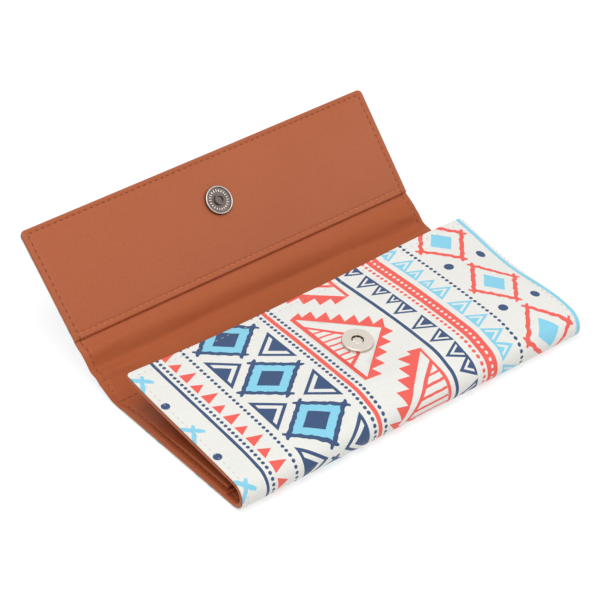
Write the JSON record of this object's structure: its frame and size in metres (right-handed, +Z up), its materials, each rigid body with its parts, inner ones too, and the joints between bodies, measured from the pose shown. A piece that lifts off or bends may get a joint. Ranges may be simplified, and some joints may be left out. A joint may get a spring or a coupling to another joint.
{
  "type": "clutch wallet",
  "caption": "Long flap-over clutch wallet in printed leatherette with tan lining, inner slip pockets and card slots, closed by a magnetic snap; shown open on its back.",
  "frame": {"origin": "centre of the back panel's flat underside, midway between the bottom fold and the spine hinge line", "axes": "+X along the fold, to the right as seen from the fold; +Y from the bottom fold towards the flap; +Z up"},
  "size_m": [0.19, 0.1589, 0.0557],
  "materials": {
    "printed_skin": "off-white leatherette printed with coral, navy and light blue bands",
    "lining": "smooth tan leatherette, satin",
    "interlining": "non-woven felt",
    "board": "stiffening board, matte",
    "nickel": "bright nickel plate",
    "pewter": "antique pewter plate with a bright rim",
    "steel": "plain zinc-plated steel",
    "magnet": "sintered magnet, dark"
  },
  "bodies": {
    "back": {"back_skin": "printed_skin", "back_board": "board", "back_lining": "lining", "back_pocket_panel": "lining", "card_slot_left_1": "lining", "card_slot_left_2": "lining", "card_slot_left_3": "lining", "card_slot_right_1": "lining", "card_slot_right_2": "lining", "card_slot_right_3": "lining", "fold_skin": "printed_skin", "fold_interlining": "interlining", "fold_lining": "lining"},
    "front": {"front_skin": "printed_skin", "front_board": "board", "front_lining": "lining", "front_pocket_panel": "lining", "front_snap_case": "nickel", "front_snap_magnet": "magnet", "front_snap_rivet": "steel", "front_snap_washer": "steel"},
    "spine": {"spine_skin": "printed_skin", "spine_lining": "lining"},
    "flap": {"flap_skin": "printed_skin", "flap_board": "board", "margin_lining": "lining", "flap_lining": "lining", "flap_snap_disc": "pewter", "flap_snap_rivet": "steel", "flap_snap_washer": "steel"}
  },
  "joints": [
    {"name": "front_fold", "type": "hinge", "parent": "back", "child": "front", "pos_m": [0, -0.0401, 0.00715], "axis": [1, 0, 0], "range_deg": [-4, 173.2], "deforming": ["fold_skin", "fold_interlining", "fold_lining"]},
    {"name": "spine_fold", "type": "hinge", "parent": "back", "child": "spine", "pos_m": [0, 0.0401, 0.0008], "axis": [1, 0, 0], "range_deg": [-19.3, 81.1]},
    {"name": "flap_fold", "type": "hinge", "parent": "spine", "child": "flap", "pos_m": [0, 0.06709, 0.01025], "axis": [1, 0, 0], "range_deg": [-25.8, 60.6]}
  ]
}
